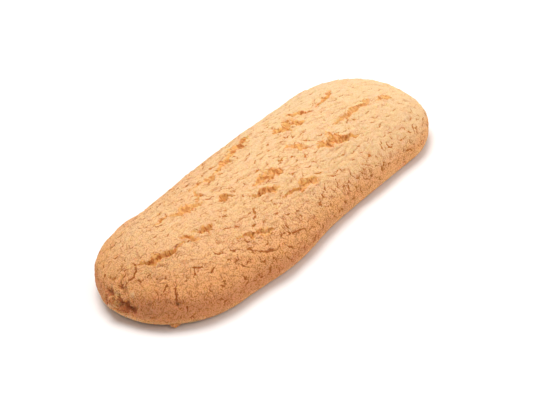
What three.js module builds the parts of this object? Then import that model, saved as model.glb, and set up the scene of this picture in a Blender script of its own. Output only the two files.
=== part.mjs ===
// A finger-shaped milk biscuit, baked flat on a tray: a stadium-shaped loaf with a domed, cracked crust.
// Millimetres, +Z up. The origin is the middle of the flat base, +X runs along the biscuit to its far end.
import * as THREE from "three";
import { mergeVertices } from "three/addons/utils/BufferGeometryUtils.js";
import { ImprovedNoise } from "three/addons/math/ImprovedNoise.js";

// Driving dimensions of the smooth loaf
const LENGTH = 108;
const WIDTH = 38.2; // of the straight sides, before they swell
const HEIGHT = 14.3;
const WIDEST_AT = 3.9; // height of the widest line above the tray
const DOME_POWER = 1.95; // 2 is an elliptical dome, less is more pointed
const FOOT_INSET = 2.4; // the flat base ends this far inside the widest line
const NEAR_FOOT_INSET = 1; // further inset at the near end, whose underside curves up
const NEAR_START = 0.62; // share of the half length where that begins
const TAPER = 0.035; // share of the width gained towards the far end
const BEND = -0.4; // sideways bow of both ends

// Uneven swelling of the two long sides: side, place along the biscuit, reach and share of the half width
const SWELLS = [
  { side: -1, at: -17, reach: 12.5, share: 0.115 },
  { side: 1, at: 12, reach: 19, share: 0.065 },
];

// Tears in the crust, as they lie on plan: both ends, sideways bow of the middle, gape across and depth
const FISSURES = [
  { from: [-47, -0.2], to: [-37.5, -5.8], bow: -1.5, gape: 1.9, depth: 1.9 },
  { from: [-36.8, -3.6], to: [-34.2, -7.4], bow: 0, gape: 1.9, depth: 1.4 },
  { from: [-33.2, -4.6], to: [-28.4, -6.5], bow: -0.3, gape: 1.7, depth: 1.9 },
  { from: [-36.2, 3.9], to: [-31.6, 4.3], bow: -0.2, gape: 1.3, depth: 1.5 },
  { from: [-31.2, 2.9], to: [-24.2, 0.2], bow: 0.3, gape: 2.5, depth: 1.4 },
  { from: [-24.3, 1.4], to: [-19.8, 5.2], bow: -0.4, gape: 1.5, depth: 0.9 },
  { from: [-20, 7], to: [-11, 5.1], bow: 0.2, gape: 1.6, depth: 1.4 },
  { from: [-12, 6.6], to: [8.2, 11.4], bow: -0.4, gape: 2.5, depth: 2 },
  { from: [-21, -2.6], to: [-16.6, -3.9], bow: 0.4, gape: 1.9, depth: 1.7 },
  { from: [-11.2, -5], to: [-2.2, -7.2], bow: 0.4, gape: 2.3, depth: 1.9 },
  { from: [-15.8, -7.1], to: [-7.6, -9.8], bow: 0.2, gape: 1.7, depth: 1.9 },
  { from: [-9.6, -12.1], to: [2, -14], bow: 0.3, gape: 1.6, depth: 1.6 },
  { from: [-28.4, -13.2], to: [-19.6, -16.5], bow: 0.3, gape: 1.5, depth: 1.5 },
  { from: [10, 4.9], to: [17.8, 2], bow: 0.4, gape: 2.8, depth: 2.1 },
  { from: [19, 7.8], to: [23, 3.3], bow: -0.3, gape: 2.5, depth: 1.7 },
  { from: [25.2, 3.2], to: [34, 5.2], bow: -0.4, gape: 1.5, depth: 1.3 },
  { from: [4.4, -1.8], to: [9.2, -6.1], bow: 0.5, gape: 2.1, depth: 1.5 },
  { from: [10.4, -7.8], to: [21.2, -11.7], bow: 0.6, gape: 2.6, depth: 2.3 },
  { from: [20.8, -4.9], to: [34.8, -5.6], bow: -0.2, gape: 2.1, depth: 1.2 },
  { from: [36, -7.2], to: [40.4, -9.6], bow: 0.8, gape: 1.4, depth: 1.2 },
];
const FISSURE_STEPS = 14; // straight pieces that a tear's curve is measured along
const TIP_SHARE = 0.04; // a tear's tips stay open as if cut this far from the ends of a closed curve
const TIP_POWER = 0.65; // 1 tapers evenly to the tips, less keeps a tear wide for longer
const FLOOR_SHARE = 0.25; // part of the half gape that is the tear's floor
const WALL_END = 1.15; // the wall rises from there to this many half gapes
const LIP_HEIGHT = 0.25; // the crust curls up beside a tear
const LIP_REACH = 0.8;
const RAGGED_SHARE = 0.28; // how far a tear's edge wanders
const RAGGED_PITCH = 1.7;
const RAGGED_ROW = 7.3; // distance in the noise from one tear's edge to the next one's

// The broken hole low on the near end, and the drip of dough at the foot beside it
const BLISTERS = [
  { at: new THREE.Vector3(-53.3, -2.2, 4.7), radius: 2.1, rise: -1.8 },
  { at: new THREE.Vector3(-53.5, 0.2, 5.4), radius: 1.5, rise: -1.1 },
  { at: new THREE.Vector3(-53.1, 2.7, 6), radius: 1.3, rise: -0.6 },
  { at: new THREE.Vector3(-48.9, -10.9, 0.8), radius: 1.5, rise: 0.8 },
];

// Unevenness of the whole crust: wavelengths along, across and up, and height, of the swells and the crags
const LUMPS = { pitch: new THREE.Vector3(11, 11, 11), height: 0.5 };
const CRAGS = { pitch: new THREE.Vector3(3.4, 2.4, 3.4), height: 0.5 };

// Facets: cells of the first lattice, then the longest edge allowed on the crust and in a tear
const CELLS = { along: 30, across: 11, up: 4 };
const CRUST_EDGE = 2.8;
const TEAR_EDGE = 0.95;
const TEAR_MARGIN = 0.35; // the fine facets reach this far past a tear's edge
const EDGE_GROWTH = 0.6; // how fast the allowed edge grows away from a tear
const SPLIT_ROUNDS = 6;
const CROWN_SHARE = 0.6; // part of the dome's arc that the lattice's upper face covers
const ON_FACE = 1e-6; // a lattice point this close to a face of the cube lies on it

const HALF_LENGTH = LENGTH / 2;
const HALF_WIDTH = WIDTH / 2;
const SPINE = HALF_LENGTH - HALF_WIDTH; // the round ends are centred here
const perlin = new ImprovedNoise();

// Share of the half width by which a side swells at a place along the biscuit
function swellAt(x, side) {
  return SWELLS.filter((swell) => swell.side === side).reduce(
    (sum, swell) => sum + swell.share * Math.exp(-(((x - swell.at) / swell.reach) ** 2)),
    0,
  );
}

// Width factor and sideways shift that turn the even stadium into the uneven one
function unevenness(x, side) {
  const along = x / HALF_LENGTH;
  return { stretch: 1 + TAPER * along + swellAt(x, side), shift: BEND * along ** 2 };
}

// Height of the smooth crust over a place on plan
function crustHeight(x, y) {
  const { stretch, shift } = unevenness(x, Math.sign(y) || 1);
  const even = (y - shift) / stretch;
  const past = Math.max(0, Math.abs(x) - SPINE);
  const radius = Math.min(1, Math.hypot(past, even) / HALF_WIDTH);
  return WIDEST_AT + (HEIGHT - WIDEST_AT) * (1 - radius ** DOME_POWER) ** (1 / DOME_POWER);
}

// Reach and height of the side's outline: arc 0 is the crown, 1 the widest line and 2 the edge of the base
function outline(arc, nearness) {
  if (arc <= 1) {
    const turn = (arc * Math.PI) / 2;
    const power = 2 / DOME_POWER;
    return {
      reach: HALF_WIDTH * Math.sin(turn) ** power,
      height: WIDEST_AT + (HEIGHT - WIDEST_AT) * Math.max(0, Math.cos(turn)) ** power,
    };
  }
  const turn = ((arc - 1) * Math.PI) / 2;
  const inset = FOOT_INSET + NEAR_FOOT_INSET * nearness;
  return {
    reach: HALF_WIDTH - inset * (1 - Math.cos(turn)),
    height: WIDEST_AT * (1 - Math.sin(turn)),
  };
}

// The smooth loaf: a point of the surface of a cube from -1 to 1 is moved to the loaf's surface
function loafPoint(cell) {
  const x = cell.x * HALF_LENGTH;
  const past = Math.max(0, Math.abs(x) - SPINE) / HALF_WIDTH;
  const offset = new THREE.Vector2(
    Math.sign(x) * past * Math.sqrt(1 - cell.y ** 2 / 2),
    cell.y * Math.sqrt(1 - past ** 2 / 2),
  );
  const radius = offset.length();
  if (radius > 0) offset.divideScalar(radius);
  const spine = THREE.MathUtils.clamp(x, -SPINE, SPINE);
  const near = -spine - HALF_WIDTH * offset.x;
  const nearness = THREE.MathUtils.smoothstep(near, NEAR_START * HALF_LENGTH, HALF_LENGTH);

  const onTop = cell.z > 1 - ON_FACE;
  const onBase = cell.z < -1 + ON_FACE;
  let arc = CROWN_SHARE + ((1 - cell.z) / 2) * (2 - CROWN_SHARE);
  if (onTop) arc = CROWN_SHARE * radius;
  if (onBase) arc = 2;
  const side = outline(arc, nearness);
  if (onBase) side.reach *= radius;

  const along = spine + side.reach * offset.x;
  const even = side.reach * offset.y;
  const { stretch, shift } = unevenness(along, Math.sign(even) || 1);
  return new THREE.Vector3(along, even * stretch + shift, side.height);
}

// A tear's middle line on the smooth crust, as points with the half gape and depth there
function tearLine(tear, index) {
  const start = new THREE.Vector2(...tear.from);
  const chord = new THREE.Vector2(...tear.to).sub(start);
  const across = new THREE.Vector2(-chord.y, chord.x).normalize();
  return Array.from({ length: FISSURE_STEPS + 1 }, (_, step) => {
    const share = step / FISSURE_STEPS;
    const open = Math.sin(Math.PI * THREE.MathUtils.lerp(TIP_SHARE, 1 - TIP_SHARE, share)) ** TIP_POWER;
    const plan = start.clone().addScaledVector(chord, share);
    plan.addScaledVector(across, tear.bow * Math.sin(Math.PI * share));
    const ragged = perlin.noise((share * chord.length()) / RAGGED_PITCH, RAGGED_ROW * index, RAGGED_ROW);
    return {
      point: new THREE.Vector3(plan.x, plan.y, crustHeight(plan.x, plan.y)),
      halfGape: (tear.gape / 2) * open * (1 + RAGGED_SHARE * 2 * ragged),
      depth: tear.depth * open,
    };
  });
}
const tearLines = FISSURES.map(tearLine);

// Nearest place of a tear's line: its distance, half gape and depth
function nearestOnTear(line, point) {
  const nearest = { distance: Infinity };
  const closest = new THREE.Vector3();
  for (let step = 0; step < FISSURE_STEPS; step++) {
    const [a, b] = [line[step], line[step + 1]];
    const piece = new THREE.Line3(a.point, b.point);
    const share = piece.closestPointToPointParameter(point, true);
    const distance = piece.at(share, closest).distanceTo(point);
    if (distance < nearest.distance) {
      nearest.distance = distance;
      nearest.halfGape = THREE.MathUtils.lerp(a.halfGape, b.halfGape, share);
      nearest.depth = THREE.MathUtils.lerp(a.depth, b.depth, share);
    }
  }
  return nearest;
}

// Height of one kind of unevenness at a place
function unevenHeight({ pitch, height }, point) {
  return height * perlin.noise(point.x / pitch.x, point.y / pitch.y, point.z / pitch.z);
}

// Height of the crust's relief over the smooth loaf: tears with curled lips, lumps, crags and blisters
function relief(point) {
  let height = unevenHeight(LUMPS, point) + unevenHeight(CRAGS, point);
  for (const line of tearLines) {
    const tear = nearestOnTear(line, point);
    const wall = THREE.MathUtils.smoothstep(tear.distance / tear.halfGape, FLOOR_SHARE, WALL_END);
    const lip = Math.exp(-(((tear.distance - tear.halfGape) / LIP_REACH - 1) ** 2));
    height += LIP_HEIGHT * lip - tear.depth * (1 - wall);
  }
  height *= THREE.MathUtils.smoothstep(point.z, 0, WIDEST_AT / 2);
  for (const blister of BLISTERS) {
    const inside = Math.min(1, point.distanceTo(blister.at) / blister.radius);
    height += blister.rise * (1 - inside ** 2) ** 2;
  }
  return height;
}

// Longest edge allowed round a place on the smooth loaf: finest in tears and blisters, any on the flat base
function edgeLimit(point) {
  if (point.z < ON_FACE) return Infinity;
  const pastTears = tearLines.map((line) => {
    const tear = nearestOnTear(line, point);
    return tear.distance - tear.halfGape - TEAR_MARGIN;
  });
  const pastBlisters = BLISTERS.map((blister) => point.distanceTo(blister.at) - blister.radius);
  const past = Math.max(0, Math.min(...pastTears, ...pastBlisters));
  return Math.min(CRUST_EDGE, TEAR_EDGE + EDGE_GROWTH * past);
}

// Splits every edge that is longer than its limit, on both sides alike, in a few rounds
function refine(cells, triangles) {
  const places = cells.map(loafPoint);
  for (let round = 0; round < SPLIT_ROUNDS; round++) {
    const middles = new Map();
    const middleOf = (i, j) => {
      const key = i < j ? `${i} ${j}` : `${j} ${i}`;
      if (!middles.has(key)) {
        const cell = cells[i].clone().add(cells[j]).multiplyScalar(0.5);
        const place = loafPoint(cell);
        const long = places[i].distanceTo(places[j]) > edgeLimit(place);
        middles.set(key, long ? cells.push(cell) - 1 : -1);
        if (long) places.push(place);
      }
      return middles.get(key);
    };
    triangles = triangles.flatMap((corners) => splitTriangle(corners, middleOf));
  }
  return { places, triangles };
}

// One triangle as one to four, by which of its edges have a middle point
function splitTriangle(corners, middleOf) {
  const middles = corners.map((corner, k) => middleOf(corner, corners[(k + 1) % 3]));
  const count = middles.filter((middle) => middle >= 0).length;
  if (count === 0) return [corners];
  const first = count === 2 ? middles.findIndex((m) => m < 0) + 1 : middles.findIndex((m) => m >= 0);
  const [a, b, c] = [0, 1, 2].map((k) => corners[(first + k) % 3]);
  const [ab, bc, ca] = [0, 1, 2].map((k) => middles[(first + k) % 3]);
  if (count === 1) return [[a, ab, c], [ab, b, c]];
  if (count === 2) return [[a, ab, c], [ab, bc, c], [ab, b, bc]];
  return [[a, ab, ca], [ab, b, bc], [ca, bc, c], [ab, bc, ca]];
}

// The first lattice: a cube's surface with shared corners
function cubeLattice() {
  const box = new THREE.BoxGeometry(2, 2, 2, CELLS.along, CELLS.across, CELLS.up);
  box.deleteAttribute("normal");
  box.deleteAttribute("uv");
  const merged = mergeVertices(box);
  const position = merged.getAttribute("position");
  const cellAt = (_, i) => new THREE.Vector3().fromBufferAttribute(position, i);
  const cells = Array.from({ length: position.count }, cellAt);
  const index = merged.index.array;
  const triangles = Array.from({ length: index.length / 3 }, (_, k) => [...index.slice(3 * k, 3 * k + 3)]);
  return { cells, triangles };
}

// The biscuit's solid: the smooth loaf with the relief raised along its normals
function biscuitGeometry() {
  const lattice = cubeLattice();
  const { places, triangles } = refine(lattice.cells, lattice.triangles);
  const geometry = new THREE.BufferGeometry().setFromPoints(places);
  geometry.setIndex(triangles.flat());
  geometry.computeVertexNormals();
  const position = geometry.getAttribute("position");
  const normal = new THREE.Vector3();
  places.forEach((place, i) => {
    normal.fromBufferAttribute(geometry.getAttribute("normal"), i);
    const moved = place.clone().addScaledVector(normal, relief(place));
    position.setXYZ(i, moved.x, moved.y, Math.max(0, moved.z));
  });
  geometry.computeBoundingBox();
  const middle = geometry.boundingBox.getCenter(new THREE.Vector3());
  geometry.translate(-middle.x, -middle.y, 0);
  geometry.computeVertexNormals();
  return geometry;
}

const crust = new THREE.MeshStandardMaterial({ color: 0xe6ad74, roughness: 0.92, metalness: 0 });
const biscuit = new THREE.Mesh(biscuitGeometry(), crust);
biscuit.name = "biscuit";

const part = new THREE.Group();
part.add(biscuit);

export default part;
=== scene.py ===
"""A finger-shaped milk biscuit with a cracked, torn crust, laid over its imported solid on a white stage."""

import math
from collections import namedtuple

import bmesh
import bpy
import numpy as np
from bpy.props import FloatProperty, FloatVectorProperty, PointerProperty
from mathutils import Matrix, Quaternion, Vector
from mathutils.kdtree import KDTree


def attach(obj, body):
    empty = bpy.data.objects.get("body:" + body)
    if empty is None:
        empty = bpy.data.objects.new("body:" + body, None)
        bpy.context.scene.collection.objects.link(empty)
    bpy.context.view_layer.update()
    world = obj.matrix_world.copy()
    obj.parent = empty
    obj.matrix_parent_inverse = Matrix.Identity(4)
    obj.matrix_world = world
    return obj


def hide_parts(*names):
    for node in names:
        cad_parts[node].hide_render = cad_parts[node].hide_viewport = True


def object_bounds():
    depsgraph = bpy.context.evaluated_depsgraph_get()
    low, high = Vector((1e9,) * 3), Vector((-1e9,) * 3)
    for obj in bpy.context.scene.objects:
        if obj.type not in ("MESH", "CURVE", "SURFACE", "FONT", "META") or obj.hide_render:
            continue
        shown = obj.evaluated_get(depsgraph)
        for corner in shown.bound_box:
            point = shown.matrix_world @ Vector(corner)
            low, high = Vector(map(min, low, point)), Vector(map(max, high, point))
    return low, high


bl_info = {
    "name": "Milk Biscuit",
    "version": (1, 0, 0),
    "blender": (4, 5, 0),
    "location": "View3D > Sidebar > Biscuit",
    "description": "Bakes a finger-shaped milk biscuit with a torn crust and sets it on a white stage",
    "category": "Mesh",
}

MM = 0.001
NODE = "biscuit"
BODY = "root"
PIECE = "milk_biscuit"

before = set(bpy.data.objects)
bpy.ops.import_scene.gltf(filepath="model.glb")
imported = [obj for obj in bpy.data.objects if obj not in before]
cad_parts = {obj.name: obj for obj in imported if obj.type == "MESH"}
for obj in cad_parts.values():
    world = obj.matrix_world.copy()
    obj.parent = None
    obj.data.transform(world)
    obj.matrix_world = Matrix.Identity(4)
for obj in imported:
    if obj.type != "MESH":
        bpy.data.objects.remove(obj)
CAD_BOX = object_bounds()
CAD_MIDDLE = (CAD_BOX[0] + CAD_BOX[1]) / 2
CAD_SIZE = CAD_BOX[1] - CAD_BOX[0]

# Lengths below are in millimetres, unless MM or a comment makes them metres

# Tears in the crust on plan: both ends, sideways bow of the middle, gape and depth
Tear = namedtuple("Tear", "start end bow gape depth")
TEARS = (
    Tear((-47.0, -0.2), (-37.5, -5.8), -1.5, 2.2, 1.9),
    Tear((-36.8, -3.6), (-34.2, -7.4), 0.0, 1.9, 1.4),
    Tear((-33.2, -4.6), (-28.4, -6.5), -0.3, 1.7, 1.9),
    Tear((-36.2, 3.9), (-31.6, 4.3), -0.2, 1.3, 1.5),
    Tear((-31.2, 2.9), (-24.2, 0.2), 0.3, 2.5, 1.4),
    Tear((-24.3, 1.4), (-19.8, 5.2), -0.4, 1.5, 0.9),
    Tear((-20.0, 7.0), (-11.0, 5.1), 0.2, 1.6, 1.4),
    Tear((-12.0, 6.6), (8.2, 11.4), -0.4, 2.5, 2.0),
    Tear((-21.0, -2.6), (-16.6, -3.9), 0.4, 1.9, 2.1),
    Tear((-11.2, -5.0), (-2.2, -7.2), 0.4, 2.3, 1.9),
    Tear((-15.8, -7.1), (-7.6, -9.8), 0.2, 1.7, 1.9),
    Tear((-9.6, -12.1), (2.0, -14.0), 0.3, 1.6, 1.6),
    Tear((-28.4, -13.2), (-19.6, -16.5), 0.3, 1.5, 1.5),
    Tear((10.0, 4.9), (17.8, 2.0), 0.4, 3.2, 2.4),
    Tear((19.0, 7.8), (23.0, 3.3), -0.3, 3.6, 2.1),
    Tear((25.2, 3.2), (34.0, 5.2), -0.4, 2.0, 1.4),
    Tear((4.4, -1.8), (9.2, -6.1), 0.5, 2.1, 1.5),
    Tear((10.4, -7.8), (21.2, -11.7), 0.6, 2.6, 2.3),
    Tear((20.8, -4.9), (34.8, -5.6), -0.2, 2.1, 1.2),
    Tear((36.0, -7.2), (40.4, -9.6), 0.8, 1.4, 1.2),
)
TEAR_STEPS = 20
# How far a tear's tips are cut short, and how slowly it tapers to them
TIP_SHARE = 0.04
TIP_POWER = 0.65
# Sways of a tear's edges with pitches, length of its parts, least half gape, width of lips, rise of crumbs
TEAR_SWAYS = ((0.6, 1.4), (0.5, 0.6))
TEAR_PART = 1.6
TEAR_LEAST = 0.08
LIP_WIDTH = 0.55
CRUMB_HEIGHT = 0.1
# Changes of its width from part to part, its least share of the gape, and how far it is known in half gapes
TEAR_PINCH = 0.5
TEAR_RAGGED = 0.8
GAPE_LEAST = 0.5
TEAR_KNOWN = 3.0
# Its section in half gapes from the middle: steep near wall, sloping far wall and the two edges
NEAR_WALL = (-1.1, -0.6)
FAR_WALL = (-0.5, 1.0)
NEAR_EDGE = (-1.2, -0.85)
FAR_EDGE = (0.85, 1.2)
# Share of the depth that the floor reaches, its change in narrow parts, and the far lip's share
FLOOR_SHARE = 0.5
FLOOR_PINCH = 0.2
FAR_LIP = 0.5
# Ratio of depth to gape, and depth, of a tear whose painted shade is neither darker nor paler than others'
MEAN_STEEPNESS = 0.8
MEAN_DEPTH = 1.5
# Painted shade of the floor from none to full; the rim's painted shadow: place and width in half gapes,
# spots and share
DARK_FLOOR = (0.4, 0.8)
RIM_PLACE = 0.95
RIM_WIDTH = 0.18
RIM_SPOTS = (-0.3, 0.2)
RIM_SHARE = 0.9

# Families of narrow cracks: steepness where they start, how far apart, least and most steps, length of a
# step, gape, jag in radians, how much farther apart at the near end, share of gape lost to the far end
CrackFamily = namedtuple("CrackFamily", "where apart steps stride gape jag thinning calm")
FAR_CALM = 0.8
CROWN_SLITS = CrackFamily((0.0, 0.22), 1.6, (1, 5), 0.6, 0.43, 0.6, 0.25, FAR_CALM)
SIDE_CRACKS = CrackFamily((0.15, 0.97), 1.45, (2, 7), 0.55, 0.41, 0.85, 0.45, 0.25)
CRACK_TRIES = 4000
# How far a crack keeps from the others
CRACK_CLEAR = 0.7
# Spread of the gapes, size of patches with more or fewer cracks and how bare they are, how strongly cracks
# of the sides run downhill, and share of the gape lost towards the near end
GAPE_SPREAD = (0.35, 1.3)
PATCH_PITCH = 3.0
PATCH_BARE = (-0.8, 0.5)
SIDE_DROP = 1.1
NEAR_CALM = 0.28
# Stretches towards the near and the far end, and steepness of the crust from level to steep
NEAR_STRETCH = (15, 40)
FAR_STRETCH = (0, 50)
LEVEL_TO_STEEP = (0.35, 0.7)
# Small steps and slits turn aside on plan: slope in the middle, and growth with the square of the place
FLOW_TURN = 0.12
FLOW_CURL = 0.00024
# The longest cracks of the crown and near side on plan, their gape, jag and stride
LONG_CRACKS = (
    ((-47.1, 0.8), (-48.3, -1.0), (-49.8, -1.1), (-51.2, 0.4)),
    ((-34.9, -11.2), (-34.7, -12.7), (-33.0, -13.7)),
    ((-31.6, -12.7), (-31.9, -13.6), (-30.0, -15.2)),
    ((-27.6, -16.9), (-26.3, -17.8), (-25.1, -18.4), (-22.8, -19.3), (-21.3, -19.6)),
    ((-34.9, -16.5), (-31.2, -17.6), (-29.7, -17.8)),
    ((-42.9, -12.3), (-41.4, -11.5), (-40.0, -12.1), (-39.2, -13.0)),
    ((-46.1, -9.8), (-47.6, -11.1), (-48.5, -11.5), (-48.6, -12.5)),
    ((-27.9, -18.8), (-26.5, -19.3), (-26.0, -19.1)),
    ((-40.0, -16.7), (-39.1, -17.1), (-38.0, -16.9)),
    ((-20.4, -18.6), (-18.8, -18.3), (-17.4, -18.4), (-16.0, -19.0), (-13.0, -19.8)),
    ((10.1, -2.6), (12.0, -5.1)),
    ((-1.8, -4.9), (0.1, -4.1), (2.2, -4.1)),
    ((-21.3, -12.3), (-19.3, -11.3), (-18.1, -10.1), (-17.1, -10.6)),
    ((-3.1, -8.3), (-1.0, -9.1)),
    ((1.8, -15.3), (-0.6, -16.4), (-2.2, -17.7)),
)
LONG_GAPE = 0.46
LONG_JAG = 0.25
LONG_STRIDE = 0.6
# Depth of the cracks' grooves, half their width and how far from a crack its sides are known
GROOVE_DEPTH = 0.14
GROOVE_WIDTH = 0.32
CRACK_REACH = 1.2

# Broken crust of the near end: place on the smooth loaf, radius and rise of each pit or crumb
Blister = namedtuple("Blister", "place radius rise")
PITS = (
    Blister((-53.2, -3.2, 4.7), 1.4, -1.4),
    Blister((-53.6, -1.6, 5.1), 1.55, -1.8),
    Blister((-53.7, 0.2, 5.6), 1.3, -1.2),
    Blister((-52.7, 3.4, 6.4), 1.3, -1.0),
    Blister((-51.6, 0.8, 8.6), 1.1, -0.6),
)
CRUMBS = (
    Blister((-53.5, 1.3, 6.4), 0.9, 0.5),
    Blister((-53.1, 3.6, 5.3), 1.0, 0.5),
    Blister((-53.8, -0.8, 6.4), 0.8, 0.35),
)
NUB = Blister((-48.9, -10.9, 0.8), 1.15, 0.8)
CRUMBLE = Blister((-53.0, 1.2, 6.0), 4.8, 0.4)
# A patch with small scorched pits beside it
PITTED = Blister((-51.0, -9.0, 5.8), 4.6, 0.1)
# The browner patch beside the hole, with how much browner it is for a rise
BROWNED = Blister((-51.0, -8.5, 4.4), 7.0, 0.44)
# Crumbs and pits strewn over both patches: how many and their rises; radii, least height above the
# base, share of the patch they lie in and how much their rise browns
Strewn = namedtuple("Strewn", "count rises")
CRUMBLE_STREWN = Strewn(46, (-0.5, 0.35))
PITTED_STREWN = Strewn(26, (-0.5, 0.0))
STREWN_RADIUS = (0.4, 0.9)
STREWN_FROM = 3.5
STREWN_WITHIN = 0.9
STREWN_BROWN = 1.3
# Edges of a broken patch, a browned pit, the browned side and the paler hole, as shares of the radius
PATCH_EDGE = (0.5, 1.0)
PIT_EDGE = (0.35, 1.0)
BROWNED_EDGE = (0.3, 1.0)
CRUMBLE_EDGE = (0.2, 0.75)

# Swellings of the long sides: side, place along the biscuit, reach and share of the half width
Swell = namedtuple("Swell", "side place reach share")
SWELLS = (Swell(-1, -17.0, 12.5, 0.115), Swell(1, 12.0, 19.0, 0.065))

# Plates of the crust: pitch, stretch along the biscuit and step from plate to plate
PlateLayer = namedtuple("PlateLayer", "pitch stretch step")
PLATE_LAYERS = (PlateLayer(6.0, 1.4, 0.08), PlateLayer(2.6, 1.5, 0.15), PlateLayer(1.4, 1.3, 0.06))
# Every plate stands higher towards the near long side, as overlapping scales do
PLATE_LEAN = np.array((0.0, -0.7, 0.0))

# Low steps along the crown: pitches of their sway, frayed edges and patches of painted edge shadow, half the
# width of an edge, and where they calm down towards both ends
TERRACE_SWAY = (5.0, 2.5, 5.0)
TERRACE_FRAY = 1.2
TERRACE_PATCH = 1.8
TERRACE_EDGE = 0.2
TERRACE_CALM = (10 * MM, 36 * MM)
# Steepness over which the steps end, and how the patches with edges painted in shadow begin
CROWN_TO_SIDE = (0.12, 0.45)
EDGED = (-0.1, 0.5)

# Cells of the first lattice, cuts of the crust's cells and slack of a comparison
CELLS_ALONG = 47
CELLS_ACROSS = 14
CELLS_UP = 6
CRUST_CUTS = 7
TINY = 1e-6
# Share of the side's arc that the lattice's top covers, and of the half length where the near end begins
CROWN_SHARE = 0.6
NEAR_SHARE = 0.62

# Painted shade in the hollows of the relief: how widely a hollow is looked for, and depths from none to full
CREVICE_SHADE_ROUNDS = 6
CREVICE_SHADE_RANGE = (0.02 * MM, 0.16 * MM)

# Heights over which the relief grows above the flat base
ROUGH_RANGE = (0.4 * MM, 2.6 * MM)
# Places of the browning: near end, change along the biscuit and low sides; and the foot, paled by painted
# light bounced up from the floor, higher at the near end
NEAR_END = (40 * MM, 54 * MM)
WHOLE_LENGTH = (-30 * MM, 50 * MM)
LOW_SIDES = (1 * MM, 9 * MM)
PALE_FOOT = (0.6 * MM, 3.2 * MM)
NEAR_FOOT = 1.2 * MM
# Its shares: along the biscuit, of steep crust, of low crust and of the foot, each at the far end and its
# growth to the near end; and how much paler the foot, by painted floor bounce light, and the hole are
ALONG_BROWN = 0.25
STEEP_BROWN = (0.45, 0.75)
LOW_BROWN = (0.24, 0.66)
FOOT_SEEN = (0.35, 0.65)
FOOT_BOUNCE_LIGHT = 0.85
BROKEN_PALER = 0.55

# Measures of the crust that the material reads, from painted shade of hollows and slope to the distances to
# a crack
CRUST_MASKS = (
    "cavity", "sided", "baked", "flow", "hollow", "terrace_shade", "scorched", "tear_reach", "tear_way",
    "tear_side", "tear_depth", "crack_gap", "crack_side", "crack_half")

# Noises of the material: scale per millimetre and detail
Noise = namedtuple("Noise", "scale detail")
MOTTLE = Noise(1.2, 5)
GRAIN = Noise(1.9, 3)
SAND = Noise(3.6, 2)
DASHES = Noise(1.0, 3)
RIBS = Noise(1.4, 3)
# How much slower the dashes change along the biscuit, and the ribs across a tear
DASH_STRETCH = 0.4
RIB_STRETCH = 0.7
# Rises of mottle, grain, sand, dashes and fine crackle in the bump
BUMP_RISES = (0.12, 0.15, -0.14, -0.2, -0.12)

# Changes of the look: a measure's low and high limit, and what the look takes at them, 0 and 1 if left out
# By a noise
RIB = (0.48, 0.58)
FLAKES = (0.38, 0.48, 0.55, 1)
DASH = (0.56, 0.64)
DOT = (0.51, 0.61)
CRACK_WIDTH = (0.36, 0.64, 0.2, 1.4)
# By the place along the biscuit
NEAR_DOTS = (-45.0, -12.0, 0.66, 1)
FAR_DOTS = (0, 35.0, 1, 0.83)
FAR_CROWN = (*FAR_STRETCH, 1, 1 - FAR_CALM)
FAR_CRACKS = (-5.0, 40.0, 1, 0.55)
# By how steep and low the crust lies
FLANK = (0.08, 0.33)
SIDE_DOTS = (0.45, 0.95, 0, 0.55)
SIDE_CRUMB = (0.35, 0.6, 0, 0.5)
# By how brown it is baked, with painted floor bounce light at the foot
TOP_TO_FLANK = (0, 0.6)
FLANK_TO_END = (0.6, 1.3)
# By the place in a tear, in half gapes, and by the tear's depth
TORN = (0.85, 1.2, 1, 0)
CRUMB_DEPTH = (0.9, 1.8, 0.8, 1)
RIB_DEPTH = (0.8, 2.0, 0.6, 1)
# By the painted shade of the tears' hollows and the painted shadow at the edges of the terraces
DEEPEST = (0.35, 0.75, 0, 0.95)
DARKEST = (0.65, 0.95, 0, 0.6)
EDGE = (0.35, 0.6)
# By the place in a crack and the distance to it
CRACK_FADE = (-0.05, 0.03)
CRACK_WITHIN = (0.4, 0.6, 1, 0)
# By the scorching of crumbs and pits
CRUMBED = (0.2, 0.45, 0, 0.8)
CRUMB_ONLY = (-0.15, -0.05, 1, 0)
BURNT = (0.4, 0.65)
PIT_ONLY = (0.05, 0.15)
# How far noise frays an edge, and mottles the browning
TORN_FRAY = 2.4
CRACK_FRAY = 0.7
EDGE_FRAY = 1.5
BROKEN_FRAY = 1.2
BAKE_MOTTLE = 0.3
# Strengths of specks on the crown, what the flank adds, and of other marks, among them painted shade and
# shadow
SPECK_CROWN = 0.52
SPECK_FLANK = 0.32
DASH_SHARE = 0.3
PORE_SHARE = 0.45
TERRACE_SHADE_SHARE = 0.3
RIB_SHARE = 0.55
CREVICE_SHADE_SHARE = 0.35
# How pale the loose crumbs are, from the flank's colour to the crown's
CRUMB_PALE = 0.8

# Webs of fine crackle: cells per millimetre, width of a crack in cells, share that opens, and strength
Web = namedtuple("Web", "density width opening strength")
PEBBLES = Web(0.65, 0.1, 0.65, 0.5)
SCALES = Web(0.7, 0.1, 0.7, 0.35)
# How the crackle frays, widens in patches, ends at its edges and opens
CRACKLE_RAGGED = Noise(2.6, 3)
CRACKLE_PATCH = Noise(1.3, 2)
CRACKLE_FRAY = 0.45
CRACKLE_WIDTH = (0.3, 0.7, 0.3, 1.6)
CRACKLE_EDGE = (0.25, 1.0, 1.0, 0.0)
CRACKLE_POWER = 0.7

CRUST_FINISH = {
    "Roughness": 0.9,
    "Specular IOR Level": 0.2,
    "Subsurface Weight": 0.8,
    "Subsurface Radius": (1.0, 0.4, 0.15),
    "Subsurface Scale": 0.7 * MM,
}
FLOOR_FINISH = {"Base Color": (0.93, 0.92, 0.92, 1), "Roughness": 0.9, "Specular IOR Level": 0.1}
SURROUNDINGS = {"Color": (1, 1, 1, 1), "Strength": 0.39}
# Half the floor's width in metres and its cells
FLOOR_REACH = 3
FLOOR_CELLS = 8
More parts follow.
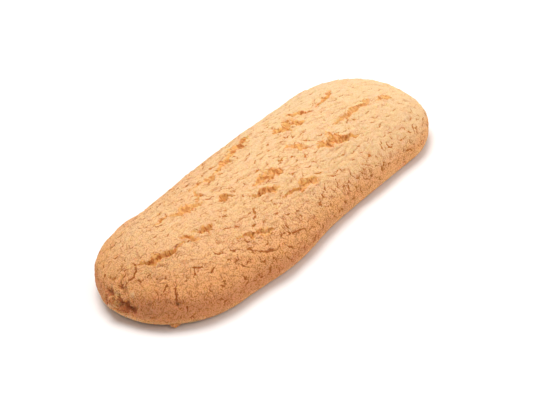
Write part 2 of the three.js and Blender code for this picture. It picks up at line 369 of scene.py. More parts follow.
# Softboxes: place and size in metres, power in watts, and their colour
Softbox = namedtuple("Softbox", "name place size power")
SOFTBOXES = (
    Softbox("key_softbox", (0.05, 0.12, 0.6), 0.4, 3.5),
    Softbox("fill_softbox", (0.2, -0.5, 0.35), 0.6, 1.45),
)
LIGHT_COLOUR = (1, 0.98, 0.96)
# Camera: the place it looks at, distance, lens, sensor, angles in degrees and the nearest it sees in metres
LOOK_AT = (1.8, 2.08, 0)
DISTANCE = 361.6
LENS = 100.37
SENSOR = 36
HEADING = 50.39
ELEVATION = 32.2
ROLL = -5.59
CLIP_START = 0.01

# Random numbers of every plate, lump and grain
SEED = 11
TABLE_SIDE = 64
RANDOM_TABLE = np.random.default_rng(SEED).random((TABLE_SIDE, TABLE_SIDE, TABLE_SIDE, 4))
# Wavelength of the noise made from them
CLOUD_WAVE = 2


def millimetres(name, description, size):
    return FloatProperty(name=name, description=description, default=size * MM, unit="LENGTH")


def tint(name, description, default):
    return FloatVectorProperty(name=name, description=description, default=default, subtype="COLOR", size=3)


class LoafSizes(bpy.types.PropertyGroup):
    """Sizes of the smooth loaf under the crust's relief."""

    length: millimetres("Length", "End to end, without the relief", CAD_SIZE.x / MM - 0.8)
    straight_width: millimetres("Width", "Across the straight sides, before they swell", 38.2)
    height: millimetres("Height", "Base to crown, without the relief", 14.3)
    widest_at: millimetres("Widest at", "Height of the widest line", 3.9)
    dome_power: FloatProperty(
        name="Dome power", description="2 is an elliptical dome, less is more pointed", default=1.95)
    foot_inset: millimetres("Foot inset", "How far the base ends inside the widest line", 2.4)
    near_foot_inset: millimetres("Near foot inset", "Further inset at the near end", 1.0)
    taper: FloatProperty(
        name="Taper", description="Share of the width gained towards the far end", default=0.035)
    bend: millimetres("Bend", "Sideways bow of both ends", -0.4)


class CrustRelief(bpy.types.PropertyGroup):
    """Heights and wavelengths of the crust's relief."""

    lump_pitch: millimetres("Lump pitch", "Wavelength of the broad lumps", 11)
    lump_height: millimetres("Lump height", "Rise of the broad lumps", 0.3)
    grain_pitch: millimetres("Grain pitch", "Size of the crumbs on the crust", 1.3)
    grain_height: millimetres("Grain height", "Rise of the crumbs on the crust", 0.05)
    terrace_pitch: millimetres("Terrace pitch", "Width of the low steps along the crown", 1.7)
    terrace_height: millimetres("Terrace height", "Rise of the low steps along the crown", 0.16)
    lip_height: millimetres("Lip height", "How far the crust curls up beside a tear", 0.3)
    rib_pitch: millimetres("Rib pitch", "Distance between the ribs across a tear", 0.8)
    rib_height: millimetres("Rib height", "Height of the ribs across a tear", 0.1)


class CrustColours(bpy.types.PropertyGroup):
    """Colours of the baked crust."""

    top: tint("Top", "Pale crown", (0.772, 0.532, 0.296))
    flank: tint("Flank", "Browner sides", (0.795, 0.40, 0.168))
    end: tint("End", "Brown near end", (0.66, 0.282, 0.125))
    speck: tint("Speck", "Sandy specks and pores", (0.62, 0.265, 0.062))
    crumb: tint("Crumb", "Orange crumb inside the tears", (0.775, 0.405, 0.128))
    crack: tint("Crack", "Dark brown cracks of the sides", (0.35, 0.095, 0.017))
    slit: tint("Slit", "Brown slits of the crown", (0.50, 0.162, 0.03))
    # Partly the red-brown crumb, partly painted shade in the tears and in the hollows of the relief
    deep_crumb_and_shade: tint("Deep", "Red-brown depth of the tears", (0.55, 0.197, 0.052))
    scorch: tint("Scorch", "Dark brown inside the hole of the near end", (0.46, 0.145, 0.048))


def smoothstep(value, low, high):
    """0 below low, 1 above high and a smooth rise between."""
    share = np.clip((value - low) / (high - low), 0, 1)
    return share * share * (3 - 2 * share)


def growing(share, nearness):
    """A share that grows towards the near end."""
    far, growth = share
    return far + growth * nearness


def drawn(cells):
    """Four random numbers for each whole-numbered cell of space."""
    i, j, k = (cells % TABLE_SIDE).T
    return RANDOM_TABLE[i, j, k]


def cloud(points):
    """Smooth noise from -1 to 1 with a wavelength of about 2."""
    home = np.floor(points).astype(int)
    share = points - home
    share = share * share * (3 - 2 * share)
    total = np.zeros(len(points))
    for corner in np.ndindex(2, 2, 2):
        weight = np.prod(np.where(corner, share, 1 - share), axis=1)
        total += weight * drawn(home + corner)[:, 3]
    return 2 * total - 1


def noise(points, pitch, number=0):
    """Smooth noise with a pitch in millimetres; every number gives another one."""
    return cloud(points / (pitch * MM) + number)


def flow_slope(along):
    """Slope on plan of the small steps at a place along the biscuit."""
    return FLOW_TURN + FLOW_CURL * along**2


def flow_side(points):
    """Places across the lines of small steps, in millimetres."""
    along, across = points[:, :2].T / MM
    return across + (FLOW_TURN + FLOW_CURL * along**2 / 3) * along


def plates(points):
    """Random plates of size 1: each point's plate numbers and offset from the plate's middle."""
    home = np.floor(points).astype(int)
    nearest = np.full(len(points), np.inf)
    middle = np.zeros_like(points)
    numbers = np.zeros((len(points), 4))
    for corner in np.ndindex(3, 3, 3):
        cell = home + np.array(corner) - 1
        random = drawn(cell)
        place = cell + random[:, :3]
        gap = np.linalg.norm(place - points, axis=1)
        closer = gap < nearest
        nearest[closer] = gap[closer]
        middle[closer] = place[closer]
        numbers[closer] = random[closer]
    return numbers, points - middle


class Loaf:
    """The smooth loaf: a stadium on plan with a domed top, a rounded foot and a flat base."""

    def __init__(self, sizes):
        self.sizes = sizes
        self.half_length = sizes.length / 2
        self.half_width = sizes.straight_width / 2
        self.spine = self.half_length - self.half_width
        self.rise = sizes.height - sizes.widest_at

    def unevenness(self, along, across):
        """Width factor and sideways shift at a place on plan."""
        side = np.where(across < 0, -1, 1)
        share = along / self.half_length
        stretch = 1 + self.sizes.taper * share
        for swell in SWELLS:
            bulge = swell.share * np.exp(-(((along / MM - swell.place) / swell.reach) ** 2))
            stretch = stretch + np.where(side == swell.side, bulge, 0)
        return stretch, self.sizes.bend * share**2

    def crust_height(self, along, across):
        """Height of the smooth crust over a place on plan."""
        stretch, shift = self.unevenness(along, across)
        even = (across - shift) / stretch
        past = np.maximum(0, np.abs(along) - self.spine)
        radius = np.minimum(1, np.hypot(past, even) / self.half_width)
        power = self.sizes.dome_power
        return self.sizes.widest_at + self.rise * (1 - radius**power) ** (1 / power)

    def outline(self, arc, nearness):
        """Reach and height of the side: arc 0 is the crown, 1 the widest line and 2 the edge of the base."""
        power = 2 / self.sizes.dome_power
        dome = np.clip(arc, 0, 1) * math.pi / 2
        foot = np.clip(arc - 1, 0, 1) * math.pi / 2
        inset = self.sizes.foot_inset + self.sizes.near_foot_inset * nearness
        reach = self.half_width * np.sin(dome) ** power - inset * (1 - np.cos(foot))
        height = self.sizes.widest_at * (1 - np.sin(foot)) + self.rise * np.maximum(np.cos(dome), 0) ** power
        return reach, height

    def wrap(self, cells):
        """Moves points of the surface of a cube from -1 to 1 to the loaf's surface."""
        along, across, up = cells.T
        along = along * self.half_length
        past = np.maximum(0, np.abs(along) - self.spine) / self.half_width
        aim_x = np.sign(along) * past * np.sqrt(1 - across**2 / 2)
        aim_y = across * np.sqrt(1 - past**2 / 2)
        radius = np.hypot(aim_x, aim_y)
        aim_x = aim_x / np.maximum(radius, 1e-9)
        aim_y = aim_y / np.maximum(radius, 1e-9)
        spine = np.clip(along, -self.spine, self.spine)
        nearness = smoothstep(
            -spine - self.half_width * aim_x, NEAR_SHARE * self.half_length, self.half_length)
        on_top = up > 1 - TINY
        on_base = up < -1 + TINY
        arc = CROWN_SHARE + (1 - up) / 2 * (2 - CROWN_SHARE)
        arc = np.where(on_top, CROWN_SHARE * radius, np.where(on_base, 2, arc))
        reach, height = self.outline(arc, nearness)
        reach = np.where(on_base, reach * radius, reach)
        x = spine + reach * aim_x
        even = reach * aim_y
        stretch, shift = self.unevenness(x, even)
        return np.column_stack((x, even * stretch + shift, height))


def tear_line(loaf, tear):
    """Points along a tear's middle on the smooth crust, and how open it is at each."""
    share = np.linspace(0, 1, TEAR_STEPS + 1)
    start = np.array(tear.start) * MM
    chord = np.array(tear.end) * MM - start
    across = np.array((-chord[1], chord[0])) / np.hypot(*chord)
    plan = start + share[:, None] * chord + np.sin(math.pi * share)[:, None] * across * tear.bow * MM
    height = loaf.crust_height(plan[:, 0], plan[:, 1])
    return np.column_stack((plan, height)), tapered(len(share))


def tapered(count):
    """How open a tear or crack is at evenly spaced places along it."""
    return np.sin(math.pi * np.linspace(TIP_SHARE, 1 - TIP_SHARE, count)) ** TIP_POWER


def beside_line(line, openness, points, normals):
    """Each point's signed distance to a line, above 0 on its left, way along it and openness."""
    nearest = np.full(len(points), np.inf)
    signed, way, opened = np.zeros((3, len(points)))
    walked = 0.0
    for a, b, open_a, open_b in zip(line[:-1], line[1:], openness[:-1], openness[1:]):
        piece = b - a
        length = np.linalg.norm(piece)
        share = np.clip((points - a) @ piece / length**2, 0, 1)
        offset = points - a - share[:, None] * piece
        distance = np.linalg.norm(offset, axis=1)
        closer = distance < nearest
        left = (np.cross(piece, offset) * normals).sum(axis=1)
        nearest[closer] = distance[closer]
        signed[closer] = np.where(left < 0, -distance, distance)[closer]
        way[closer] = (walked + share * length)[closer]
        opened[closer] = (open_a + share * (open_b - open_a))[closer]
        walked += length
    return signed, way, opened


class Crust:
    """Relief of the crust over the smooth loaf, and the measures that its colours follow."""

    def __init__(self, loaf, relief, points, normals):
        self.loaf = loaf
        self.relief = relief
        self.points = points
        self.normals = normals
        self.tree = KDTree(len(points))
        for index, point in enumerate(points):
            self.tree.insert(point, index)
        self.tree.balance()
        self.height = np.zeros(len(points))
        for name in CRUST_MASKS:
            setattr(self, name, np.zeros(len(points)))
        self.flow += flow_side(points)
        self.tear_reach += TEAR_KNOWN
        self.crack_gap += CRACK_REACH
        self.crack_side += CRACK_REACH
        self.steepness = 1 - np.clip(normals[:, 2], 0, 1)
        self.rough = smoothstep(points[:, 2], *ROUGH_RANGE)

    def add_waves(self, height, pitch):
        """Even noise over the whole crust: broad lumps or a fine grain."""
        self.height += height * cloud(self.points / pitch * CLOUD_WAVE)

    def add_terraces(self):
        """Low steps along the crown with broken edges: a low groove, and a mask of their painted shadow."""
        relief = self.relief
        stretched = self.points / (np.array(TERRACE_SWAY) * MM)
        level = self.flow * MM / relief.terrace_pitch + 0.9 * cloud(stretched + 5)
        level = level + 0.3 * noise(self.points, TERRACE_FRAY, 41)
        share = level - np.floor(level)
        crown = 1 - smoothstep(self.steepness, *CROWN_TO_SIDE)
        patchy = smoothstep(noise(self.points, TERRACE_PATCH, 61), *EDGED)
        edge_gap = np.minimum(share, 1 - share) * relief.terrace_pitch
        edge = np.exp(-((edge_gap / (TERRACE_EDGE * MM)) ** 2)) * patchy * crown
        calmed = 1 - FAR_CALM * smoothstep(np.abs(self.points[:, 0]), *TERRACE_CALM)
        self.height += relief.terrace_height * calmed * ((0.5 - share) * crown - 0.6 * edge)
        # Painted shadow below the step edges
        self.terrace_shade = edge

    def add_plates(self, layer):
        """Plates that stand unevenly."""
        pitch = layer.pitch * MM
        coarse = self.points / (0.4 * pitch)
        fine = self.points / (0.15 * pitch)
        warp = np.column_stack([0.2 * cloud(coarse + 17 * k) + 0.1 * cloud(fine + 29 * k) for k in range(3)])
        place = self.points / pitch / np.array((layer.stretch, 1, 1)) + warp
        numbers, offset = plates(place)
        tilt = (offset * (numbers[:, :3] - 0.5 + PLATE_LEAN)).sum(axis=1)
        self.height += layer.step * MM * (0.7 * (numbers[:, 3] - 0.5) + tilt)

    def beside(self, line, reach):
        """Which points lie within reach of a line's box."""
        low = line.min(axis=0) - reach
        high = line.max(axis=0) + reach
        return ((self.points > low) & (self.points < high)).all(axis=1)

    def add_tear(self, tear):
        """A ragged tear with a steep near wall, a sloping ribbed far wall and curled lips."""
        relief = self.relief
        line, openness = tear_line(self.loaf, tear)
        near = self.beside(line, (tear.gape + 3) * MM)
        points = self.points[near]
        signed, way, opened = beside_line(line, openness, points, self.normals[near])
        for sway, pitch in TEAR_SWAYS:
            signed = signed + sway * MM * noise(points, pitch)
        own = np.full(len(way), tear.start[0])
        along = np.column_stack((way / (TEAR_PART * MM), np.sign(signed) * 3, own))
        pinch = cloud(along * np.array((0.5, 0, 1)) + 9)
        ragged = (1 + TEAR_PINCH * pinch) * (1 + TEAR_RAGGED * cloud(along))
        half = 0.5 * tear.gape * MM * opened * np.maximum(GAPE_LEAST, ragged)
        half = np.maximum(half, TEAR_LEAST * MM)
        side = signed / half
        wall = smoothstep(side, *NEAR_WALL) * (1 - smoothstep(side, *FAR_WALL))
        inside = smoothstep(side, *NEAR_EDGE) * (1 - smoothstep(side, *FAR_EDGE))
        across = np.array((2 * TEAR_PART * MM / relief.rib_pitch, 0.2, 1))
        rib = cloud(along * across + 0.5 * noise(points, 1)[:, None])
        past = (np.abs(signed) - half) / (LIP_WIDTH * MM)
        lip = np.exp(-((past - 0.6) ** 2)) * opened
        floor = wall * (FLOOR_SHARE - FLOOR_PINCH * pinch) * tear.depth * MM * opened
        self.height[near] += relief.lip_height * lip * np.where(signed < 0, 1, FAR_LIP) - floor
        crumbs = CRUMB_HEIGHT * MM * noise(points, 0.5, 13)
        self.height[near] += (relief.rib_height * rib + crumbs) * inside
        spotty = noise(points, 0.8, 51)
        # Painted shade: darker in deep, narrow tears, by the near wall and along both rims
        shade = 0.6 * (tear.depth / tear.gape - MEAN_STEEPNESS) + 0.25 * (tear.depth - MEAN_DEPTH)
        hollow = inside * smoothstep(0.5 * wall + 0.9 * spotty + shade, *DARK_FLOOR)
        rim = np.exp(-(((np.abs(side) - RIM_PLACE) / RIM_WIDTH) ** 2)) * smoothstep(spotty, *RIM_SPOTS)
        hollow = np.maximum(hollow, RIM_SHARE * rim * opened)
        self.hollow[near] = np.maximum(self.hollow[near], hollow)
        reach = np.minimum(np.abs(side), TEAR_KNOWN)
        deeper = reach < self.tear_reach[near]
        index = np.flatnonzero(near)[deeper]
        self.tear_reach[index] = reach[deeper]
        self.tear_way[index] = way[deeper] / MM + 10 * tear.start[0]
        self.tear_side[index] = signed[deeper] / MM
        self.tear_depth[index] = tear.depth

    def add_cracks(self, family, lengthwise, random):
        """Jagged cracks that wander over the crust from random places."""
        low, high = family.where
        allowed = np.flatnonzero((self.steepness > low) & (self.steepness < high) & (self.rough == 1))
        thinned = noise(self.points, PATCH_PITCH, 71)
        starts = []
        for start in random.choice(allowed, CRACK_TRIES):
            if thinned[start] < random.uniform(*PATCH_BARE) or self.crack_gap[start] < CRACK_CLEAR:
                continue
            along = self.points[start, 0] / MM
            nearness = smoothstep(-along, *NEAR_STRETCH)
            level = 1 - smoothstep(self.steepness[start], *LEVEL_TO_STEEP)
            apart = family.apart * MM * (1 + family.thinning * nearness * level)
            gaps = np.linalg.norm(self.points[starts] - self.points[start], axis=1)
            if (gaps < apart).any():
                continue
            starts.append(start)
            heading = random.normal(size=3) - np.array((0, 0, SIDE_DROP))
            steps = random.integers(*family.steps, endpoint=True)
            gape = family.gape * random.uniform(*GAPE_SPREAD) * (1 - NEAR_CALM * nearness)
            gape *= 1 - family.calm * smoothstep(along, *FAR_STRETCH)
            if lengthwise:
                heading = np.array((1.0, -flow_slope(along), 0))
            self.add_crack(self.wander(start, heading, steps, family, random), gape)

    def wander(self, at, heading, steps, family, random):
        """Points of a jagged line that keeps its heading over the crust, up to the next crack."""
        line = [self.points[at]]
        for _ in range(steps):
            normal = self.normals[at]
            heading = heading - np.dot(heading, normal) * normal
            heading = heading / np.linalg.norm(heading)
            step = Quaternion(normal, random.normal(0, family.jag)) @ Vector(heading)
            _, at, _ = self.tree.find(Vector(self.points[at]) + family.stride * MM * step)
            line.append(self.points[at])
            if self.crack_gap[at] < CRACK_CLEAR:
                break
        return np.array(line)

    def add_long_crack(self, plan, random):
        """A jagged crack through some places on plan."""
        plan = np.array(plan)
        walked = np.append(0, np.cumsum(np.linalg.norm(np.diff(plan, axis=0), axis=1)))
        places = np.linspace(0, walked[-1], max(2, round(walked[-1] / LONG_STRIDE)) + 1)
        x, y = (np.interp(places, walked, side) + random.normal(0, LONG_JAG, len(places)) for side in plan.T)
        line = np.column_stack((x, y, self.loaf.crust_height(x * MM, y * MM) / MM)) * MM
        self.add_crack(line, LONG_GAPE)

    def add_crack(self, line, gape):
        """A low groove along a line, and the distances that its dark middle is drawn from."""
        near = self.beside(line, CRACK_REACH * MM)
        points = self.points[near]
        signed, _, opened = beside_line(line, tapered(len(line)), points, self.normals[near])
        signed = signed / MM
        gap = np.abs(signed)
        self.height[near] -= GROOVE_DEPTH * MM * np.exp(-((gap / GROOVE_WIDTH) ** 2)) * opened
        closer = gap < self.crack_gap[near]
        index = np.flatnonzero(near)[closer]
        self.crack_gap[index] = gap[closer]
        self.crack_side[index] = signed[closer]
        self.crack_half[index] = 0.5 * gape * opened[closer]

    def add_crumble(self, crumble, scatter, random):
        """A broken patch of loose crumbs and small scorched pits."""
        away = self.away(crumble)
        rough = noise(self.points, 0.7, 23) + 0.6 * noise(self.points, 0.4, 37)
        self.height += crumble.rise * MM * rough * (1 - smoothstep(away, *PATCH_EDGE))
        strewn = np.flatnonzero((away < STREWN_WITHIN) & (self.points[:, 2] > STREWN_FROM * MM))
        for at in random.choice(strewn, scatter.count):
            place = self.points[at] / MM
            blister = Blister(place, random.uniform(*STREWN_RADIUS), random.uniform(*scatter.rises))
            self.bulge(blister)
            self.scorch(blister, -STREWN_BROWN * blister.rise)

    def away(self, blister):
        """How far out of a blister each point lies: 0 in its middle, 1 at its edge."""
        return np.linalg.norm(self.points - np.array(blister.place) * MM, axis=1) / (blister.radius * MM)

    def around(self, blister):
        """The points near a blister, and how far out of it each lies."""
        away = self.away(blister)
        near = np.flatnonzero(away < 2)
        return near, away[near]

    def bulge(self, blister):
        """A pit or crumb with an uneven edge."""
        near, inside = self.around(blister)
        points = self.points[near]
        inside = inside + 0.35 * noise(points, 0.8) + 0.25 * noise(points, 0.35)
        self.height[near] += blister.rise * MM * np.clip(1 - inside**2, 0, 1) ** 2

    def scorch(self, blister, share):
        """Browns a pit by a share, or lightens a crumb by a share below 0."""
        near, inside = self.around(blister)
        inside = inside + 0.4 * noise(self.points[near], 0.6)
        brown = share * (1 - smoothstep(inside, *PIT_EDGE))
        browner = np.abs(brown) > np.abs(self.scorched[near])
        self.scorched[near] = np.where(browner, brown, self.scorched[near])

    def brown(self):
        """Measures how steep and low each place lies, and how brown it is baked, paler at the foot by
        painted bounce light.
        """
        height = self.points[:, 2]
        near = smoothstep(-self.points[:, 0], *NEAR_END)
        nearer = smoothstep(-self.points[:, 0], *WHOLE_LENGTH)
        low = 1 - smoothstep(height, *LOW_SIDES)
        # Painted light: the foot turns paler where light bounces up from the floor
        foot = 1 - smoothstep(height - NEAR_FOOT * near, *PALE_FOOT)
        foot = foot * growing(FOOT_SEEN, nearer)
        self.sided = ALONG_BROWN * nearer + growing(STEEP_BROWN, nearer) * self.steepness
        self.sided += growing(LOW_BROWN, near) * low
        browned = 1 - smoothstep(self.away(BROWNED), *BROWNED_EDGE)
        broken = 1 - smoothstep(self.away(CRUMBLE), *CRUMBLE_EDGE)
        self.baked = self.sided * (1 - FOOT_BOUNCE_LIGHT * foot) * (1 - BROKEN_PALER * broken)
        self.baked += BROWNED.rise * browned


def crust_lattice(bm):
    """A cube from -1 to 1 cut into cells, with the cells of its top and sides cut finely."""
    bmesh.ops.create_cube(bm, size=2)
    for axis, cells in enumerate((CELLS_ALONG, CELLS_ACROSS, CELLS_UP)):
        edges = [edge for edge in bm.edges if abs(edge.verts[0].co[axis] - edge.verts[1].co[axis]) > TINY]
        bmesh.ops.subdivide_edges(bm, edges=edges, cuts=cells - 1, use_grid_fill=True)
    crust = (face for face in bm.faces if max(vert.co.z for vert in face.verts) > -1 + TINY)
    edges = list(dict.fromkeys(edge for face in crust for edge in face.edges))
    bmesh.ops.subdivide_edges(bm, edges=edges, cuts=CRUST_CUTS, use_grid_fill=True)


def vector_array(items, name):
    """A vector of every item, one in each row."""
    flat = np.empty(3 * len(items))
    items.foreach_get(name, flat)
    return flat.reshape(-1, 3)


def set_vertices(mesh, points):
    mesh.vertices.foreach_set("co", points.ravel())
    mesh.update()


def evened(mesh, values, rounds):
    """Values of the vertices, evened out along the edges."""
    ends = np.empty(2 * len(mesh.edges), dtype=int)
    mesh.edges.foreach_get("vertices", ends)
    a, b = ends.reshape(-1, 2).T
    neighbours = np.bincount(ends, minlength=len(values))
    for _ in range(rounds):
        total = np.bincount(a, values[b], len(values)) + np.bincount(b, values[a], len(values))
        values = (values + total) / (1 + neighbours)
    return values


def store(mesh, name, values):
    """Keeps one value a vertex for the material to read."""
    mesh.attributes.new(name, "FLOAT", "POINT").data.foreach_set("value", values.astype(np.float32))


def set_inputs(node, values):
    """Sets some of a node's own values by name."""
    for name, value in values.items():
        node.inputs[name].default_value = value


class Wiring:
    """Adds nodes to a tree; an input takes a plain value or another node's output."""

    def __init__(self, tree):
        self.tree = tree

    def put(self, socket, value):
        if isinstance(value, bpy.types.NodeSocket):
            self.tree.links.new(value, socket)
        elif socket.type == "RGBA":
            socket.default_value = (*value, 1)
        else:
            socket.default_value = value

    def node(self, kind, inputs, **settings):
        """A new node with some settings and named inputs."""
        node = self.tree.nodes.new(kind)
        for name, value in settings.items():
            setattr(node, name, value)
        for name, value in inputs.items():
            self.put(node.inputs[name], value)
        return node

    def attribute(self, name):
        return self.node("ShaderNodeAttribute", {}, attribute_name=name).outputs["Fac"]

    def math(self, operation, *values):
        return self.node("ShaderNodeMath", dict(enumerate(values)), operation=operation).outputs[0]

    def times(self, a, b):
        return self.math("MULTIPLY", a, b)

    def scaled(self, value, factor, base):
        """The value times a factor, added to a base."""
        return self.math("MULTIPLY_ADD", value, factor, base)

    def larger(self, a, b):
        return self.math("MAXIMUM", a, b)

    def vector_math(self, operation, a, b):
        return self.node("ShaderNodeVectorMath", {0: a, 1: b}, operation=operation).outputs[0]

    def step(self, value, low, high, start=0.0, end=1.0):
        """A smooth change from start to end as the value goes from low to high."""
        limits = {"Value": value, "From Min": low, "From Max": high, "To Min": start, "To Max": end}
        return self.node("ShaderNodeMapRange", limits, interpolation_type="SMOOTHSTEP").outputs[0]

    def noise(self, place, kind, output="Fac"):
        inputs = {"Vector": place, "Scale": kind.scale, "Detail": kind.detail}
        return self.node("ShaderNodeTexNoise", inputs).outputs[output]

    def mix(self, factor, a, b):
        """Two colours mixed."""
        node = self.node("ShaderNodeMix", {"Factor": factor}, data_type="RGBA")
        for name, value in (("A", a), ("B", b)):
            self.put(next(s for s in node.inputs if s.name == name and s.type == "RGBA"), value)
        return next(s for s in node.outputs if s.type == "RGBA")


def crackle_group():
    """Ragged cracks between plates: a mask from 0 on the plates to each crack's own depth."""
    group = bpy.data.node_groups.new("crackle", "ShaderNodeTree")
    for name, kind in (("Place", "Vector"), ("Density", "Float"), ("Width", "Float"), ("Opening", "Float")):
        group.interface.new_socket(name, in_out="INPUT", socket_type="NodeSocket" + kind)
    group.interface.new_socket("Crack", in_out="OUTPUT", socket_type="NodeSocketFloat")
    wires = Wiring(group)
    given = group.nodes.new("NodeGroupInput").outputs
    put_out = group.nodes.new("NodeGroupOutput").inputs
    place = wires.vector_math("SCALE", given["Place"], (0, 0, 0))
    wires.put(place.node.inputs["Scale"], given["Density"])
    ragged = wires.noise(place, CRACKLE_RAGGED, "Color")
    ragged = wires.vector_math("SUBTRACT", ragged, (0.5, 0.5, 0.5))
    ragged = wires.vector_math("MULTIPLY", ragged, (CRACKLE_FRAY, CRACKLE_FRAY, CRACKLE_FRAY))
    place = wires.vector_math("ADD", place, ragged)
    cells = {"Vector": place, "Scale": 1.0}
    joint = wires.node("ShaderNodeTexVoronoi", cells, feature="DISTANCE_TO_EDGE")
    plate = wires.node("ShaderNodeTexVoronoi", cells, feature="F1").outputs["Color"]
    neighbour = wires.node("ShaderNodeTexVoronoi", cells, feature="F2").outputs["Color"]
    both = wires.vector_math("ADD", plate, neighbour)
    both = wires.node("ShaderNodeSeparateXYZ", {"Vector": both}).outputs["X"]
    joint_number = wires.math("FRACT", both)
    patchy = wires.noise(place, CRACKLE_PATCH)
    width = wires.times(given["Width"], wires.step(patchy, *CRACKLE_WIDTH))
    crack = wires.math("DIVIDE", joint.outputs["Distance"], width)
    crack = wires.step(crack, *CRACKLE_EDGE)
    opened = wires.math("SUBTRACT", 1.0, wires.math("DIVIDE", joint_number, given["Opening"]))
    opened = wires.math("POWER", wires.larger(opened, 0.0), CRACKLE_POWER)
    wires.put(put_out["Crack"], wires.times(crack, opened))
    return group


def crust_material(colours):
    """Baked crust: pale crown, browner flanks, orange crumb in the tears and a fine grain."""
    material = bpy.data.materials.new("baked_crust")
    material.use_nodes = True
    wires = Wiring(material.node_tree)
    step, times, scaled, larger, mix = wires.step, wires.times, wires.scaled, wires.larger, wires.mix
    shader = material.node_tree.nodes["Principled BSDF"]
    masks = {name: wires.attribute(name) for name in CRUST_MASKS}
    object_place = wires.node("ShaderNodeTexCoord", {}).outputs["Object"]
    place = wires.vector_math("MULTIPLY", object_place, (1 / MM, 1 / MM, 1 / MM))
    along = wires.node("ShaderNodeSeparateXYZ", {"Vector": place}).outputs
    lengthwise = wires.node("ShaderNodeCombineXYZ", {
        "X": times(along["X"], DASH_STRETCH), "Y": masks["flow"], "Z": along["Z"]}).outputs[0]
    mottle, grain, sand = (wires.noise(place, kind) for kind in (MOTTLE, GRAIN, SAND))
    dashes = wires.noise(lengthwise, DASHES)
    uneven = wires.math("SUBTRACT", grain, 0.5)
    sandy = wires.math("SUBTRACT", sand, 0.5)

    # Masks of the tears and cracks
    torn = step(scaled(uneven, TORN_FRAY, masks["tear_reach"]), *TORN)
    tear_place = wires.node("ShaderNodeCombineXYZ", {
        "X": masks["tear_way"], "Y": times(masks["tear_side"], RIB_STRETCH)}).outputs[0]
    ribs = step(wires.noise(tear_place, RIBS), *RIB)
    crack_side = wires.math("ABSOLUTE", scaled(sandy, CRACK_FRAY, masks["crack_side"]))
    crack_half = times(masks["crack_half"], step(mottle, *CRACK_WIDTH))
    crack = step(wires.math("SUBTRACT", crack_half, crack_side), *CRACK_FADE)
    crack = times(crack, step(masks["crack_gap"], *CRACK_WITHIN))
    # Painted shadow along the terrace edges
    edges = step(scaled(uneven, EDGE_FRAY, masks["terrace_shade"]), *EDGE)

    # Masks of the fine crackle, specks and dashes
    on_flank = step(masks["sided"], *FLANK)
    on_crown = times(wires.math("SUBTRACT", 1.0, on_flank), step(along["X"], *FAR_CROWN))
    crackle = crackle_group()

    def web(where, kind, share):
        inputs = {"Place": where, "Density": kind.density, "Width": kind.width, "Opening": kind.opening}
        cracks = wires.node("ShaderNodeGroup", inputs, node_tree=crackle).outputs["Crack"]
        return times(cracks, times(share, kind.strength))

    fine = larger(web(place, PEBBLES, on_flank), web(lengthwise, SCALES, on_crown))
    dash = times(step(dashes, *DASH), times(on_crown, DASH_SHARE))
    dotted = wires.math("ADD", step(along["X"], *NEAR_DOTS), step(masks["sided"], *SIDE_DOTS))
    dotted = times(dotted, step(along["X"], *FAR_DOTS))
    dot = times(step(sand, *DOT), dotted)

    # Colours of the crust, its specks and its lines
    # Browning, paler at the foot by painted light bounced up from the floor
    browned = wires.math("ADD", masks["baked"], scaled(mottle, BAKE_MOTTLE, -BAKE_MOTTLE / 2))
    colour = mix(step(browned, *TOP_TO_FLANK), colours.top, colours.flank)
    colour = mix(step(browned, *FLANK_TO_END), colour, colours.end)
    speck = times(dot, scaled(on_flank, SPECK_FLANK, SPECK_CROWN))
    colour = mix(larger(speck, dash), colour, colours.speck)
    dark = mix(times(on_flank, step(along["X"], *FAR_CRACKS)), colours.slit, colours.crack)
    colour = mix(times(dot, times(on_flank, PORE_SHARE)), colour, dark)
    # Dark lines: cracks, fine crackle, and painted shadow at the terrace edges
    lines = larger(larger(crack, fine), times(edges, TERRACE_SHADE_SHARE))
    colour = mix(lines, colour, dark)

    # Colours inside the tears: the crumb, with ribs and hollows darkened, partly the crumb's red-brown and
    # partly painted shade
    crumbly = times(step(mottle, *FLAKES), step(masks["tear_depth"], *CRUMB_DEPTH))
    crumb = mix(step(masks["sided"], *SIDE_CRUMB), colours.crumb, colours.deep_crumb_and_shade)
    colour = mix(times(torn, crumbly), colour, crumb)
    ribbed = times(times(ribs, torn), step(masks["tear_depth"], *RIB_DEPTH))
    deepest_shade = step(wires.math("ADD", masks["hollow"], uneven), *DEEPEST)
    deepest_shade = times(deepest_shade, scaled(ribs, RIB_SHARE, 1 - RIB_SHARE))
    # Painted shade of the tears' ribs and hollows and of the relief's hollows
    shaded = larger(larger(ribbed, deepest_shade), times(masks["cavity"], CREVICE_SHADE_SHARE))
    colour = mix(shaded, colour, colours.deep_crumb_and_shade)
    colour = mix(step(deepest_shade, *DARKEST), colour, colours.crack)

    # Colours of the broken near end
    ragged = scaled(sandy, BROKEN_FRAY, times(uneven, BROKEN_FRAY))
    crumbed = step(wires.math("SUBTRACT", ragged, masks["scorched"]), *CRUMBED)
    crumbed = times(crumbed, step(masks["scorched"], *CRUMB_ONLY))
    colour = mix(crumbed, colour, mix(CRUMB_PALE, colours.flank, colours.top))
    burnt = step(wires.math("ADD", masks["scorched"], ragged), *BURNT)
    burnt = times(burnt, step(masks["scorched"], *PIT_ONLY))
    colour = mix(burnt, colour, colours.scorch)
    wires.put(shader.inputs["Base Color"], colour)

    height = 0.0
    for mask, rise in zip((mottle, grain, sand, dashes, fine), BUMP_RISES):
        height = scaled(mask, rise, height)
    bump = wires.node("ShaderNodeBump", {"Strength": 1.0, "Distance": 1 * MM, "Height": height})
    wires.put(shader.inputs["Normal"], bump.outputs["Normal"])
    set_inputs(shader, CRUST_FINISH)
    return material


